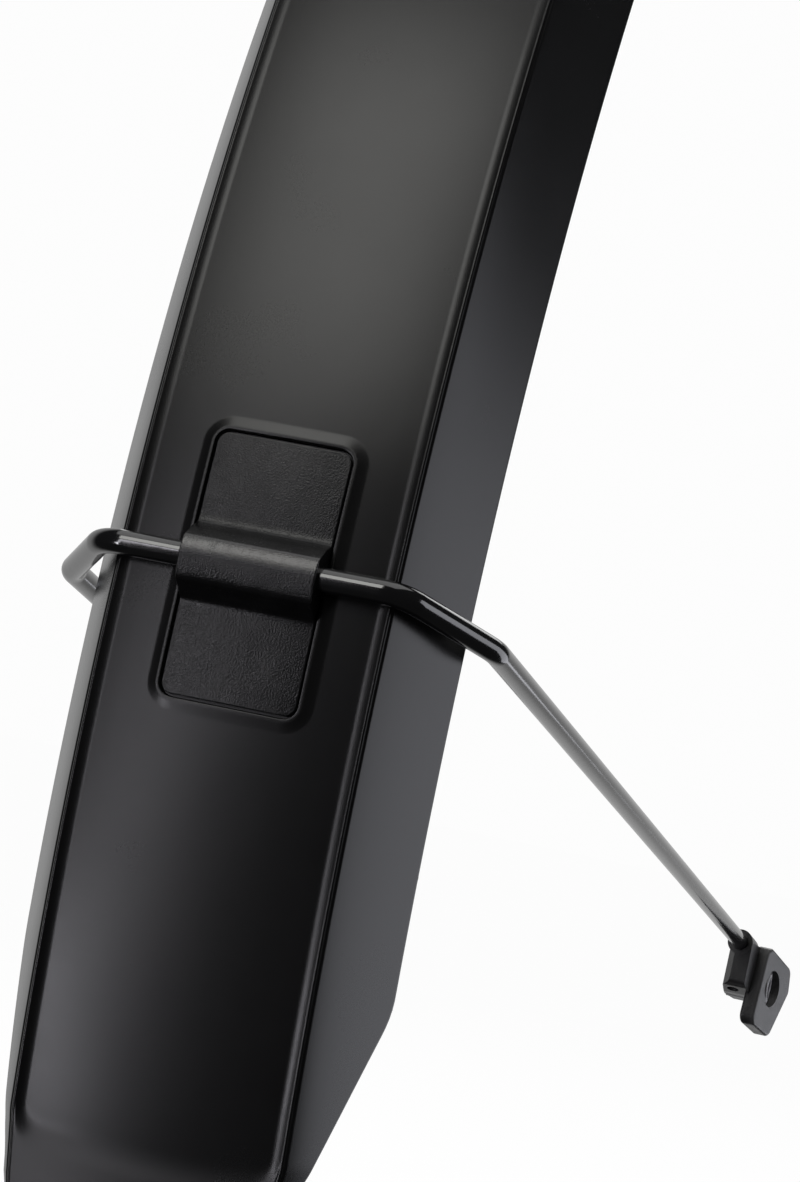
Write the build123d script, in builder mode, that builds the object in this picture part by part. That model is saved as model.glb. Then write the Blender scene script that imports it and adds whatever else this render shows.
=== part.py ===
from build123d import *
import os
from math import radians, cos, sin, tan, sqrt, acos, degrees

os.makedirs("parts", exist_ok=True)

# ---------------------------------------------------------------- dimensions
# Front mudguard for a 28 inch wheel, mm and degrees.
# +X forward, +Y left, +Z up; the origin is the centre of the crown bolt hole.
# Angles run about the wheel axle, from the rear horizontal upwards.
R = 365.0                 # outer radius of the guard, level with the foot of its rims

# crown bracket (strap) and its bolt hole, measured from the wheel axle
TAB_X = -124.0            # mid plane of the upright tab
STRAP_T = 2.5             # strap thickness
STRAP_W = 20.0            # strap width
HOLE_RISE = 24.0          # bolt hole above the guard's outer face
CROWN_BOLT_R = 3.2        # clearance hole for a 6 mm bolt
STRAP_EDGE = 0.5          # rolled edge of the strap
FOOT_START = 63.0         # rear end of the strap's foot
RIVET_AT = (64.3, 67.5)   # rivet stations
RIVET_R = 2.0

# cross section of the guard: (distance from the mid plane, height over R)
PANEL_RISE = 0.30         # crowned panel, middle
PANEL_EDGE = (20.25, -0.50)
CREST_IN = (21.95, -0.26)  # low rim beside the panel
CREST_OUT = (22.36, -0.30)
GROOVE_IN = (22.50, -0.60)
GROOVE_OUT = (22.74, -0.68)
SHOULDER = (22.86, -0.74)
WALL_FOOT = (31.3, -18.7)
SKIN = 2.0                # thickness of the panel
WALL_T = 1.8              # thickness of the side walls

# stations along the guard
CLIP_AT = 5.0             # middle of the stay clip
PANEL_LOW = CLIP_AT - 14.10   # the sunk panel ends here, the lip begins
LIP_BEND_R = 20.0         # outward bend of the lower lip
LIP_TURN = 13.0
LIP_RUN = 15.0
LIP_EDGE = 3.6            # depth left along the lip's sides
TAPER_START = CLIP_AT - 10.35
TAPER_N = -6.4            # level of the tapered wall edge where the lip begins
PANEL_TOP = 108.4
FRONT_END = 110.0

# stay clip
PLATE_W, PLATE_L, PLATE_CORNER = 22.2, 42.2, 1.9
PLATE_SIDE, PLATE_ALONG = -0.1, -0.35   # the plate sits a little off the middle
PLATE_TOP = 0.56
POCKET_FLOOR = -0.75
POCKET_GAP = 0.35
FRAME_W, FRAME_L = 24.0, 43.0     # crest of the raised frame
FRAME_TOP = 0.42
FRAME_SLOPE = 65.0
STUD_R, STUD_TURN = 2.5, 2.2      # stud radius, degrees either side of the clip
STUD_END = -4.4

# stay wire
WIRE_R = 2.0
WIRE_FIT = 0.05           # running clearance in the saddle
WIRE_N = 2.8              # height of the wire's axis over R
SADDLE_TOP = 6.2          # crest of the saddle over R
SADDLE_FOOT = 6.15
BEND_1 = 24.53            # first bend, from the mid plane
BEND_2 = (35.94, -18.6, -3.1)     # second bend: side, height over R, along the guard
LEG_END = (-18.65, 45.66, -23.2)  # leg's entry in its end block, from the axle, clip level
BEND_R1, BEND_R2 = 6.0, 9.0
SOCKET = 13.0             # wire inside the end block

# ---------------------------------------------------------------- placing
TAB_Z = sqrt((R + PANEL_RISE) ** 2 - TAB_X ** 2) + HOLE_RISE
AX, AZ = -TAB_X, -TAB_Z   # wheel axle, seen from the bolt hole


def ray(a):
    """Outward direction at a station."""
    return (-cos(radians(a)), 0, sin(radians(a)))


def run(a):
    """Direction of growing angle at a station."""
    return (sin(radians(a)), 0, cos(radians(a)))


def at(a, n=0.0, y=0.0):
    """Point at a station, n over the outer radius."""
    return (AX - (R + n) * cos(radians(a)), y, AZ + (R + n) * sin(radians(a)))


def xz(a, n=0.0):
    p = at(a, n)
    return (p[0], p[2])


def section_plane(a):
    """Cross-section plane: local x is height over R, local y runs across."""
    return Plane(origin=at(a), x_dir=ray(a), z_dir=run(a))


def face_plane(a):
    """Plane on the guard's outer face: local x runs across, normal outward."""
    return Plane(origin=at(a), x_dir=(0, 1, 0), z_dir=ray(a))


def clip_point(x, y, z):
    """Point given from the axle with the clip level behind it."""
    c, s = cos(radians(CLIP_AT)), sin(radians(CLIP_AT))
    return Vector(AX + x * c + z * s, y, AZ - x * s + z * c)


AXLE = Axis((AX, 0, AZ), (0, 1, 0))

# ---------------------------------------------------------------- sections
_d = Vector(WALL_FOOT[0] - SHOULDER[0], WALL_FOOT[1] - SHOULDER[1], 0).normalized()
_in = Vector(_d.Y, -_d.X, 0)          # from the wall's outer face inwards
WALL_IN_TOP = (SHOULDER[0] + _in.X * WALL_T, SHOULDER[1] + _in.Y * WALL_T)
WALL_IN_FOOT = (WALL_FOOT[0] + _in.X * WALL_T, WALL_FOOT[1] + _in.Y * WALL_T)
PANEL_IN = PANEL_RISE - SKIN
_k = (-2.45 - WALL_IN_TOP[1]) / _d.Y
CORNER_IN = (WALL_IN_TOP[0] + _d.X * _k, -2.45)


def swap(p, side=1):
    return (p[1], p[0] * side)


with BuildSketch(Plane.XY) as sunk_section:
    with BuildLine():
        ThreePointArc(swap(PANEL_EDGE, -1), (PANEL_RISE, 0), swap(PANEL_EDGE))
        Polyline(swap(PANEL_EDGE), swap(CREST_IN), swap(CREST_OUT), swap(GROOVE_IN),
                 swap(GROOVE_OUT), swap(SHOULDER), swap(WALL_FOOT), swap(WALL_IN_FOOT),
                 swap(CORNER_IN))
        ThreePointArc(swap(CORNER_IN), (PANEL_IN, 0), swap(CORNER_IN, -1))
        Polyline(swap(CORNER_IN, -1), swap(WALL_IN_FOOT, -1), swap(WALL_FOOT, -1),
                 swap(SHOULDER, -1), swap(GROOVE_OUT, -1), swap(GROOVE_IN, -1),
                 swap(CREST_OUT, -1), swap(CREST_IN, -1), swap(PANEL_EDGE, -1))
    make_face()

# level section of the two ends: the panel rises flush with the rims
LEVEL_EDGE = (22.36, -0.30)
with BuildSketch(Plane.XY) as level_section:
    with BuildLine():
        ThreePointArc(swap(LEVEL_EDGE, -1), (PANEL_RISE, 0), swap(LEVEL_EDGE))
        Polyline(swap(LEVEL_EDGE), swap(SHOULDER), swap(WALL_FOOT), swap(WALL_IN_FOOT),
                 swap(CORNER_IN))
        ThreePointArc(swap(CORNER_IN), (PANEL_IN, 0), swap(CORNER_IN, -1))
        Polyline(swap(CORNER_IN, -1), swap(WALL_IN_FOOT, -1), swap(WALL_FOOT, -1),
                 swap(SHOULDER, -1), swap(LEVEL_EDGE, -1))
    make_face()

# ---------------------------------------------------------------- guard blade
LIP_C = at(PANEL_LOW, LIP_BEND_R)
_a2 = PANEL_LOW + LIP_TURN
LIP_END = tuple(c - LIP_BEND_R * r for c, r in zip(LIP_C, ray(_a2)))
LIP_GO = tuple(-t for t in run(_a2))

# the raised frame around the clip: sloped outside, cut level with the guard's curve
with BuildPart() as clip_frame:
    with BuildSketch(face_plane(CLIP_AT).offset(-1.2)):
        grow = 2 * (FRAME_TOP + 1.2) * tan(radians(FRAME_SLOPE))
        with Locations((0, -PLATE_ALONG)):
            RectangleRounded(FRAME_W + grow, FRAME_L + grow, PLATE_CORNER + 1.0 + grow / 2)
    extrude(amount=FRAME_TOP + 1.2, taper=FRAME_SLOPE)
    with BuildSketch(section_plane(CLIP_AT - 6)):
        with Locations(((FRAME_TOP - 0.6) / 2, 0)):
            Rectangle(FRAME_TOP + 0.6, 60)
    revolve(axis=AXLE, revolution_arc=12, mode=Mode.INTERSECT)

# the pocket inside it
with BuildPart() as clip_pocket:
    with BuildSketch(face_plane(CLIP_AT).offset(-3)):
        with Locations((PLATE_SIDE, -PLATE_ALONG)):
            RectangleRounded(PLATE_W + 2 * POCKET_GAP, PLATE_L + 2 * POCKET_GAP,
                             PLATE_CORNER + POCKET_GAP)
    extrude(amount=9)
    with BuildSketch(section_plane(CLIP_AT - 6)):
        with Locations(((POCKET_FLOOR + 8) / 2, 0)):
            Rectangle(8 - POCKET_FLOOR, 60)
    revolve(axis=AXLE, revolution_arc=12, mode=Mode.INTERSECT)

with BuildPart() as guard_blade:
    # long sunk-panel stretch
    with BuildSketch(section_plane(PANEL_LOW)):
        add(sunk_section.sketch)
    revolve(axis=AXLE, revolution_arc=PANEL_TOP - PANEL_LOW)
    # level front end
    with BuildSketch(section_plane(PANEL_TOP)):
        add(level_section.sketch)
    revolve(axis=AXLE, revolution_arc=FRONT_END - PANEL_TOP)
    # lower lip: bent outward, then straight
    with BuildSketch(section_plane(PANEL_LOW)):
        add(level_section.sketch)
    revolve(axis=Axis(LIP_C, (0, 1, 0)), revolution_arc=LIP_TURN)
    with BuildSketch(Plane(origin=LIP_END, x_dir=ray(_a2), z_dir=LIP_GO)):
        add(level_section.sketch)
    extrude(amount=LIP_RUN)
    # side walls run out in a straight taper at both ends
    _lip_low = tuple(c - (LIP_BEND_R + LIP_EDGE) * r for c, r in zip(LIP_C, ray(_a2)))
    _lip_tip = tuple(p + 18 * g for p, g in zip(_lip_low, LIP_GO))
    with BuildSketch(Plane.XZ):
        with BuildLine():
            Polyline(xz(TAPER_START + 2.0, -26), xz(TAPER_START, -18.75),
                     xz(PANEL_LOW, TAPER_N), (_lip_low[0], _lip_low[2]),
                     (_lip_tip[0], _lip_tip[2]), xz(PANEL_LOW - 6, -40),
                     xz(TAPER_START, -45), close=True)
        make_face()
    extrude(amount=40, both=True, mode=Mode.SUBTRACT)
    with BuildSketch(Plane.XZ):
        with BuildLine():
            Polyline(xz(FRONT_END - 7.5, -26), xz(FRONT_END - 5.6, -18.75),
                     xz(FRONT_END + 0.6, -3.6), xz(FRONT_END + 4, -30), close=True)
        make_face()
    extrude(amount=40, both=True, mode=Mode.SUBTRACT)
    # plan outline of the lip: drawn in, slightly bowed, round corners
    with BuildSketch(Plane(origin=LIP_END, x_dir=(0, 1, 0), z_dir=ray(_a2))) as lip_plan:
        with Locations((0, 5)):
            Rectangle(90, 34)
        with BuildSketch(mode=Mode.SUBTRACT) as lip_keep:
            with BuildLine():
                ThreePointArc((-20.6, 12.5), (0, 13.5), (20.6, 12.5))
                Polyline((20.6, 12.5), (23.1, 4.3), (24.2, -2.3), (25.9, -7.0), (34.0, -13.0),
                         (-34.0, -13.0), (-25.9, -7.0), (-24.2, -2.3), (-23.1, 4.3), (-20.6, 12.5))
            make_face()
            fillet(lip_keep.vertices().group_by(Axis.Y)[-1], 6.0)
    extrude(amount=9, both=True, mode=Mode.SUBTRACT)
    # round corners of the front end
    with BuildSketch(face_plane(FRONT_END)) as front_plan:
        with Locations((0, 2)):
            Rectangle(90, 20)
        with BuildSketch(mode=Mode.SUBTRACT) as front_keep:
            with BuildLine():
                ThreePointArc((-21.0, 1.2), (0, 0.0), (21.0, 1.2))
                Polyline((21.0, 1.2), (24.0, 8.0), (34.0, 14.0), (-34.0, 14.0),
                         (-24.0, 8.0), (-21.0, 1.2))
            make_face()
            fillet(front_keep.vertices().group_by(Axis.Y)[0], 5.0)
    extrude(amount=9, both=True, mode=Mode.SUBTRACT)
    # clip frame, pocket and the cradle rib under the wire
    add(clip_frame.part)
    add(clip_pocket.part, mode=Mode.SUBTRACT)
    with BuildSketch(face_plane(CLIP_AT).offset(POCKET_FLOOR - 0.4)):
        Rectangle(PLATE_W - 2, 3.6)
    extrude(amount=WIRE_N - WIRE_R - 0.08 - POCKET_FLOOR + 0.4)
    # stud holes and rivet holes
    for a in (CLIP_AT - STUD_TURN, CLIP_AT + STUD_TURN):
        with BuildSketch(face_plane(a).offset(-4)):
            Circle(STUD_R + 0.2)
        extrude(amount=5, mode=Mode.SUBTRACT)
    for a in RIVET_AT:
        with BuildSketch(face_plane(a).offset(-4)):
            Circle(RIVET_R + 0.05)
        extrude(amount=6, mode=Mode.SUBTRACT)
guard_blade.part.label = "guard_blade"
export_step(guard_blade.part, "parts/guard_blade.step")

# ---------------------------------------------------------------- stay clip
with BuildPart() as stay_clip:
    # plate, curved with the guard
    with BuildSketch(face_plane(CLIP_AT).offset(-3)):
        with Locations((PLATE_SIDE, -PLATE_ALONG)):
            RectangleRounded(PLATE_W, PLATE_L, PLATE_CORNER)
    extrude(amount=8)
    with BuildSketch(section_plane(CLIP_AT - 6)):
        with Locations(((PLATE_TOP + POCKET_FLOOR + 0.02) / 2, 0)):
            Rectangle(PLATE_TOP - POCKET_FLOOR - 0.02, 60)
    revolve(axis=AXLE, revolution_arc=12, mode=Mode.INTERSECT)
    # crowned saddle with straight flanks, its lower side flatter; local y points inwards here
    with BuildSketch(Plane(origin=at(CLIP_AT, 0, PLATE_SIDE), x_dir=run(CLIP_AT), z_dir=(0, 1, 0))):
        with BuildLine():
            Polyline((-SADDLE_FOOT, 0.6), (-SADDLE_FOOT, -PLATE_TOP + 0.05), (-4.353, -4.589))
            ThreePointArc((-4.353, -4.589), (-4.004, -5.097), (-3.5, -5.446))
            ThreePointArc((-3.5, -5.446), (-1.75, -6.018), (0, -SADDLE_TOP))
            ThreePointArc((0, -SADDLE_TOP), (1.2, -6.083), (2.35, -5.737))
            ThreePointArc((2.35, -5.737), (2.674, -5.545), (2.93, -5.268))
            Polyline((2.93, -5.268), (SADDLE_FOOT, -PLATE_TOP + 0.05), (SADDLE_FOOT, 0.6), (-SADDLE_FOOT, 0.6))
        make_face()
    extrude(amount=PLATE_W / 2, both=True)
    # channel for the wire, open underneath
    with BuildSketch(Plane(origin=at(CLIP_AT), x_dir=run(CLIP_AT), z_dir=(0, 1, 0))):
        with Locations((0, -WIRE_N)):
            Circle(WIRE_R + WIRE_FIT)
        with Locations((0, (-WIRE_N + 2) / 2)):
            Rectangle(2 * (WIRE_R + WIRE_FIT), WIRE_N + 2)
    extrude(amount=PLATE_W, both=True, mode=Mode.SUBTRACT)
    # studs on the back
    for a in (CLIP_AT - STUD_TURN, CLIP_AT + STUD_TURN):
        with BuildSketch(face_plane(a).offset(STUD_END)):
            Circle(STUD_R)
        extrude(amount=0.4 - STUD_END)
stay_clip.part.label = "stay_clip"
export_step(stay_clip.part, "parts/stay_clip.step")

# ---------------------------------------------------------------- push nuts
with BuildPart() as clip_push_nuts:
    for a in (CLIP_AT - STUD_TURN, CLIP_AT + STUD_TURN):
        pl = Plane(origin=at(a), x_dir=(0, 1, 0), z_dir=run(a))
        # local x runs across, local y is along the outward ray or against it
        sgn = 1 if pl.y_dir.dot(Vector(*ray(a))) > 0 else -1
        with BuildSketch(pl):
            with BuildLine():
                q = PANEL_IN - 0.12
                Polyline((5.5, sgn * q), (5.5, sgn * (q - 0.5)), (4.0, sgn * (q - 0.5)),
                         (STUD_R + 0.03, sgn * (q - 1.3)), (STUD_R + 0.03, sgn * (q - 0.8)),
                         (3.8, sgn * q), (5.5, sgn * q))
            make_face()
        revolve(axis=Axis(at(a), ray(a)), revolution_arc=360)
clip_push_nuts.part.label = "clip_push_nuts"
export_step(clip_push_nuts.part, "parts/clip_push_nuts.step")

# ---------------------------------------------------------------- u stay
B1 = {s: clip_point(-(R + WIRE_N), s * BEND_1, 0) for s in (1, -1)}
B2 = {s: clip_point(-(R + BEND_2[1]), s * BEND_2[0], BEND_2[2]) for s in (1, -1)}
EN = {s: clip_point(LEG_END[0], s * LEG_END[1], LEG_END[2]) for s in (1, -1)}
LEG = {s: (EN[s] - B2[s]).normalized() for s in (1, -1)}
TIP = {s: EN[s] + LEG[s] * SOCKET for s in (1, -1)}
with BuildPart() as u_stay:
    with BuildLine() as stay_path:
        FilletPolyline(TIP[-1], B2[-1], B1[-1], B1[1], B2[1], TIP[1],
                       radius=(BEND_R2, BEND_R1, BEND_R1, BEND_R2))
    with BuildSketch(Plane(origin=TIP[-1], z_dir=(B2[-1] - TIP[-1]).normalized())):
        Circle(WIRE_R)
    sweep(path=stay_path.wire())
u_stay.part.label = "u_stay"
export_step(u_stay.part, "parts/u_stay.step")

# ---------------------------------------------------------------- stay ends
BOSS_R, BOSS_L = 3.2, 14.2                    # round boss over the wire socket
WEB = [(0.4, -0.8), (2.8, -2.4), (11.5, -2.4), (21.5, 1.2), (21.5, 8.5), (6.0, 4.4), (0.4, 3.2)]
WEB_SIDE = [(0.4, 0.4), (21.5, 0.4), (21.5, -11.0), (17.0, -13.0), (8.0, -12.4), (2.5, -11.2), (0.4, -10.2)]
LUG_OUT, LUG_SLANT, LUG_T = 5.3, 0.30, 3.9    # slanted lug plate on the outer side
LUG_SIDE = [(6.6, 1.4), (22.9, -1.9), (24.4, -8.0), (17.2, -21.0), (4.8, -19.2)]
EYE_U, EYE_V = 12.6, -8.9                     # bolt eye from the wire's entry
SEAT, SEAT_R = 8.3, 4.7                       # bolt seat, outward from the wire's entry
BUSH_IN, BUSH_OUT = -2.3, 8.4                 # ends of the bush
EYE_R, BUSH_R, BUSH_HOLE = 4.0, 3.98, 2.65
CLAMP_U, CLAMP_W, CLAMP_R, CLAMP_L = 5.0, 0.15, 1.5, 4.6

EU = {}
EV = {}
for s in (1, -1):
    g = Vector(LEG[s].X, 0, LEG[s].Z).normalized()
    EU[s] = g
    EV[s] = Vector(-g.Z, 0, g.X)


def end_point(s, u, v, w):
    """Point of an end block: u along the leg, v up, w outward."""
    return EN[s] + EU[s] * u + EV[s] * v + Vector(0, s * w, 0)


def end_plan(s, v):
    """Plan plane of an end block: local x along the leg, local y to the left side."""
    return Plane(origin=end_point(s, 0, v, 0), x_dir=EU[s], z_dir=EV[s])


def end_side(s, w):
    """Side plane of an end block, its normal pointing outward."""
    return Plane(origin=end_point(s, 0, 0, w), x_dir=EU[s], z_dir=(0, s, 0))


ends = {}
for s, name in ((1, "left_stay_end"), (-1, "right_stay_end")):
    side = s if end_plan(s, 0).y_dir.Y > 0 else -s
    up = 1 if end_side(s, 0).y_dir.dot(EV[s]) > 0 else -1
    # slanted lug with the bolt eye, its outline a rounded five-sided shape
    with BuildPart() as lug:
        with BuildSketch(end_plan(s, -24)):
            with BuildLine():
                lo, hi = 2.0, 26.0
                Polyline((lo, side * (LUG_OUT + LUG_SLANT * lo)), (hi, side * (LUG_OUT + LUG_SLANT * hi)),
                         (hi, side * (LUG_OUT + LUG_SLANT * hi - LUG_T)),
                         (lo, side * (LUG_OUT + LUG_SLANT * lo - LUG_T)), close=True)
            make_face()
        extrude(amount=34)
        with BuildSketch(end_side(s, -12)) as lug_outline:
            with BuildLine():
                Polyline(*[(u, up * v) for u, v in LUG_SIDE], close=True)
            make_face()
            fillet(lug_outline.vertices(), 2.6)
        extrude(amount=40, mode=Mode.INTERSECT)
        fillet(lug.edges(), 0.7)
    # web under the wire
    with BuildPart() as web:
        with BuildSketch(end_plan(s, -24)):
            with BuildLine():
                Polyline(*[(u, side * w) for u, w in WEB], close=True)
            make_face()
        extrude(amount=34)
        with BuildSketch(end_side(s, -12)) as web_outline:
            with BuildLine():
                Polyline(*[(u, up * v) for u, v in WEB_SIDE], close=True)
            make_face()
            fillet(web_outline.vertices(), 1.2)
        extrude(amount=40, mode=Mode.INTERSECT)
    with BuildPart() as stay_end:
        add(web.part)
        add(lug.part)
        # round boss along the wire, its far end domed off
        with BuildSketch(Plane(origin=EN[s] + LEG[s] * 0.3, z_dir=LEG[s])):
            Circle(BOSS_R)
        extrude(amount=BOSS_L - 0.3)
        fillet(stay_end.edges().filter_by(GeomType.CIRCLE).filter_by(
            lambda e: abs(e.radius - BOSS_R) < 0.01).sort_by(
            lambda e: (e.arc_center - EN[s]).dot(LEG[s]))[-1], 0.8)
        # bolt eye with a flat seat
        with BuildSketch(end_side(s, -8)):
            with Locations((EYE_U, up * EYE_V)):
                Circle(EYE_R)
        extrude(amount=30, mode=Mode.SUBTRACT)
        with BuildSketch(end_side(s, SEAT)):
            with Locations((EYE_U, up * EYE_V)):
                Circle(SEAT_R)
        extrude(amount=20, mode=Mode.SUBTRACT)
        # wire socket, and the clamp screw's hole from below
        with BuildSketch(Plane(origin=EN[s] - LEG[s] * 2, z_dir=LEG[s])):
            Circle(WIRE_R + 0.03)
        extrude(amount=SOCKET + 2.4, mode=Mode.SUBTRACT)
        with BuildSketch(Plane(origin=end_point(s, CLAMP_U, 0, CLAMP_W), z_dir=EV[s] * -1)):
            Circle(CLAMP_R + 0.03)
        extrude(amount=24, mode=Mode.SUBTRACT)
    stay_end.part.label = name
    ends[name] = stay_end
export_step(ends["left_stay_end"].part, "parts/left_stay_end.step")
export_step(ends["right_stay_end"].part, "parts/right_stay_end.step")

# ---------------------------------------------------------------- eyelet bushes
with BuildPart() as eyelet_bushes:
    for s in (1, -1):
        up = 1 if end_side(s, 0).y_dir.dot(EV[s]) > 0 else -1
        with BuildSketch(end_side(s, BUSH_IN)):
            with Locations((EYE_U, up * EYE_V)):
                Circle(BUSH_R)
                Circle(BUSH_HOLE, mode=Mode.SUBTRACT)
        extrude(amount=BUSH_OUT - BUSH_IN)
    chamfer(eyelet_bushes.edges().filter_by(GeomType.CIRCLE), 0.25)
eyelet_bushes.part.label = "eyelet_bushes"
export_step(eyelet_bushes.part, "parts/eyelet_bushes.step")

# ---------------------------------------------------------------- clamp screws
with BuildPart() as stay_clamp_screws:
    for s in (1, -1):
        top = Plane(origin=end_point(s, CLAMP_U, -WIRE_R - 0.08, CLAMP_W), z_dir=EV[s] * -1)
        with BuildSketch(top):
            Circle(CLAMP_R)
        extrude(amount=CLAMP_L)
        with BuildSketch(top.offset(CLAMP_L - 2.0)):
            RegularPolygon(0.85, 6)
        extrude(amount=4, mode=Mode.SUBTRACT)
stay_clamp_screws.part.label = "stay_clamp_screws"
export_step(stay_clamp_screws.part, "parts/stay_clamp_screws.step")

# ---------------------------------------------------------------- crown bracket
RB, RT = PANEL_RISE, PANEL_RISE + STRAP_T
tab_front, tab_back = TAB_X + STRAP_T / 2, TAB_X - STRAP_T / 2
A_FRONT = degrees(acos(-tab_front / (R + RB)))
A_BACK = degrees(acos(-tab_back / (R + RT)))
with BuildPart() as crown_bracket:
    with BuildSketch(Plane.XZ) as strap_side:
        with BuildLine():
            ThreePointArc(xz(FOOT_START, RB), xz((FOOT_START + A_FRONT) / 2, RB), xz(A_FRONT, RB))
            Polyline(xz(A_FRONT, RB), (AX + tab_front, 10.0), (AX + tab_back, 10.0),
                     xz(A_BACK, RT))
            ThreePointArc(xz(A_BACK, RT), xz((FOOT_START + A_BACK) / 2, RT), xz(FOOT_START, RT))
            Line(xz(FOOT_START, RT), xz(FOOT_START, RB))
        make_face()
        fillet(strap_side.vertices().sort_by_distance(xz(A_BACK, RT))[0], 3.0)
        fillet(strap_side.vertices().sort_by_distance(xz(A_FRONT, RB))[0], 5.0)
    extrude(amount=STRAP_W / 2, both=True)
    fillet(crown_bracket.edges().filter_by(Axis.X).group_by(Axis.Z)[-1], 7.0)
    fillet(crown_bracket.edges().filter_by(lambda e: abs(e.length - STRAP_T) < 0.05)
           .sort_by(Axis.X)[:2], 5.0)
    fillet(crown_bracket.faces().sort_by(Axis.Y)[0].edges()
           + crown_bracket.faces().sort_by(Axis.Y)[-1].edges(), STRAP_EDGE)
    with BuildSketch(Plane.YZ):
        Circle(CROWN_BOLT_R)
    extrude(amount=10, both=True, mode=Mode.SUBTRACT)
    for a in RIVET_AT:
        with BuildSketch(face_plane(a).offset(-2)):
            Circle(RIVET_R + 0.05)
        extrude(amount=8, mode=Mode.SUBTRACT)
crown_bracket.part.label = "crown_bracket"
export_step(crown_bracket.part, "parts/crown_bracket.step")

# ---------------------------------------------------------------- rivets and washers
with BuildPart() as crown_rivets:
    for a in RIVET_AT:
        with BuildSketch(face_plane(a).offset(PANEL_IN - 2.4)):
            Circle(RIVET_R)
        extrude(amount=RT - PANEL_IN + 3.0)
        with BuildSketch(face_plane(a).offset(RT)):
            Circle(4.0)
        extrude(amount=1.5)
        with BuildSketch(face_plane(a).offset(PANEL_IN - 2.4)):
            Circle(3.4)
        extrude(amount=1.4)
    fillet(crown_rivets.edges().filter_by(GeomType.CIRCLE).filter_by(
        lambda e: abs(e.radius - 4.0) < 0.01).group_by(
        lambda e: round(e.arc_center.Z * sin(radians(65.9)) - e.arc_center.X * cos(radians(65.9)), 0))[-1],
        1.2)
crown_rivets.part.label = "crown_rivets"
export_step(crown_rivets.part, "parts/crown_rivets.step")

with BuildPart() as crown_rivet_washers:
    for a in RIVET_AT:
        with BuildSketch(face_plane(a).offset(PANEL_IN - 0.95)):
            Circle(4.5)
            Circle(RIVET_R + 0.1, mode=Mode.SUBTRACT)
        extrude(amount=0.8)
crown_rivet_washers.part.label = "crown_rivet_washers"
export_step(crown_rivet_washers.part, "parts/crown_rivet_washers.step")
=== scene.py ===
import math
import bpy
import bmesh
import numpy as np
from mathutils import Matrix, Vector


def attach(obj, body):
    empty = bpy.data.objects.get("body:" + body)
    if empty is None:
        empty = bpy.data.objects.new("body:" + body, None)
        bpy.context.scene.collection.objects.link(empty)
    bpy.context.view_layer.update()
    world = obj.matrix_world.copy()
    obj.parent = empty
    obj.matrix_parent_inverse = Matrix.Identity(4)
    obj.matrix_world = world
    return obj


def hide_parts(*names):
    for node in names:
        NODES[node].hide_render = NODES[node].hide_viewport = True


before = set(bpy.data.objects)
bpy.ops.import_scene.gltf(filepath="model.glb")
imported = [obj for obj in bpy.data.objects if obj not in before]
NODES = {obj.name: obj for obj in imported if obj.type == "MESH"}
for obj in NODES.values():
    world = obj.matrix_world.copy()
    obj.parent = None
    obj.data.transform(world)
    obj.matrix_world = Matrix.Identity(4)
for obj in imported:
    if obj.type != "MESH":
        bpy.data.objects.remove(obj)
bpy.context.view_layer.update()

DEG = math.pi / 180.0
MM = 0.001

# ------------------------------------------------------------------ the guard's frame, mm
AX, AZ, R = 124.0, -367.61037528, 365.0        # wheel axle and outer radius
CLIP = 5.0                                     # station of the clip, degrees
U_END = -91.0                                  # the sunk panel ends here, along the guard
U_LOW = -89.8                                  # the lower lip starts to bend outward here
U_TAPER = -14.66 * DEG * R
U_TOP = (108.4 - CLIP) * DEG * R
U_FRONT = (110.0 - CLIP) * DEG * R
BEND_R, BEND_TURN = 20.0, 13.0                 # outward bend of the lower lip
BEND_L = BEND_R * BEND_TURN * DEG
LIP_BOW = 1.5                                  # the bend line hangs lower in the middle
WALL_D = np.array((7.7, -17.7)) / math.hypot(7.7, 17.7)
WALL_IN = np.array((WALL_D[1], -WALL_D[0]))


def smooth01(x):
    x = np.clip(x, 0.0, 1.0)
    return x * x * (3.0 - 2.0 * x)


def smax(a, b, k):
    """Soft maximum with a blend about k wide."""
    h = np.clip(0.5 + 0.5 * (a - b) / k, 0.0, 1.0)
    return b + (a - b) * h + k * h * (1.0 - h)


def smin(a, b, k):
    return -smax(-a, -b, k)


def place(s, u, n):
    """Row-frame points, mm: s across (left positive), u along the guard, n over its face."""
    s, u, n = np.broadcast_arrays(np.asarray(s, float), np.asarray(u, float), np.asarray(n, float))
    low = U_LOW - LIP_BOW * np.clip(1.0 - (s / 21.0) ** 2, 0.0, 1.0)
    a = CLIP * DEG + u / R
    a0 = CLIP * DEG + low / R
    v = np.maximum(low - u, 0.0)
    turn = np.minimum(v, BEND_L) / BEND_R
    a1 = a0 + turn
    rest = np.maximum(v - BEND_L, 0.0)
    in_lip = u < low
    px = np.where(in_lip, AX - (R + BEND_R) * np.cos(a0) + BEND_R * np.cos(a1) - rest * np.sin(a1),
                  AX - R * np.cos(a))
    pz = np.where(in_lip, AZ + (R + BEND_R) * np.sin(a0) - BEND_R * np.sin(a1) - rest * np.cos(a1),
                  AZ + R * np.sin(a))
    aa = np.where(in_lip, a1, a)
    return np.stack((px - n * np.cos(aa), s, pz + n * np.sin(aa)), axis=-1)


def clip_point(x, y, z):
    c, s = math.cos(CLIP * DEG), math.sin(CLIP * DEG)
    return np.array((AX + x * c + z * s, y, AZ - x * s + z * c))


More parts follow.
